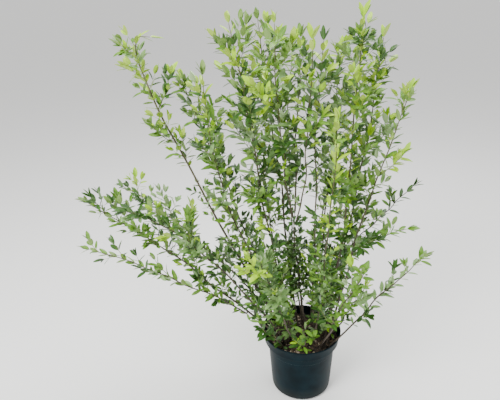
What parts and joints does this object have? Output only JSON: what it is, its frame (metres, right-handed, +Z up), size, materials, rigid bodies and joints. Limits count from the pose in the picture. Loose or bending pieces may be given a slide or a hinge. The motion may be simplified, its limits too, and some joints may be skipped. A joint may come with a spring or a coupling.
{
  "type": "potted common privet shrub",
  "caption": "Young many-stemmed common privet shrub in a round plastic nursery pot, with arching leafy shoots, for gardens, terraces and street scenes",
  "frame": {"origin": "centre of the pot's flat underside, on the pot's axis", "axes": "+X to the right and +Y to the back as the plant is pictured, +Z up along the pot's axis"},
  "size_m": [1.1348, 0.7629, 1.3331],
  "materials": {
    "pot": "moulded, satin",
    "compost": "loose bark compost",
    "bark": "thin grey-brown bark",
    "foliage": "soft satin leaves"
  },
  "bodies": {
    "root": {"leaves_back_left": "foliage", "leaves_back_right": "foliage", "leaves_far_right": "foliage", "leaves_foot_back_left": "foliage", "leaves_foot_back_right": "foliage", "leaves_foot_front": "foliage", "leaves_foot_front_left": "foliage", "leaves_foot_left": "foliage", "leaves_foot_right": "foliage", "leaves_fork_left": "foliage", "leaves_fork_middle": "foliage", "leaves_fork_right": "foliage", "leaves_front_left": "foliage", "leaves_front_right": "foliage", "leaves_high_left": "foliage", "leaves_high_left_inner": "foliage", "leaves_inner_left": "foliage", "leaves_inner_right": "foliage", "leaves_left_whip": "foliage", "leaves_low_left": "foliage", "leaves_low_left_back": "foliage", "leaves_low_left_twig": "foliage", "leaves_low_left_upper": "foliage", "leaves_low_right": "foliage", "leaves_outer_right": "foliage", "leaves_right_spray": "foliage", "leaves_right_spray_back": "foliage", "leaves_tall_left": "foliage", "leaves_tall_left_back": "foliage", "leaves_tall_middle": "foliage", "leaves_tall_right": "foliage", "leaves_tall_right_back": "foliage", "leaves_thin_back": "foliage", "leaves_young_front": "foliage", "limb_back_left": "bark", "limb_back_right": "bark", "limb_far_right": "bark", "limb_fork_left": "bark", "limb_fork_middle": "bark", "limb_fork_right": "bark", "limb_front_left": "bark", "limb_front_right": "bark", "limb_high_left": "bark", "limb_high_left_inner": "bark", "limb_left_whip": "bark", "limb_low_left": "bark", "limb_low_left_back": "bark", "limb_low_left_upper": "bark", "limb_low_right": "bark", "limb_middle": "bark", "limb_outer_right": "bark", "limb_tall_left": "bark", "limb_tall_left_back": "bark", "limb_tall_middle": "bark", "limb_tall_right": "bark", "limb_tall_right_back": "bark", "limb_thin_back": "bark", "limb_young_front": "bark", "pot": "pot", "soil": "compost"}
  },
  "joints": []
}
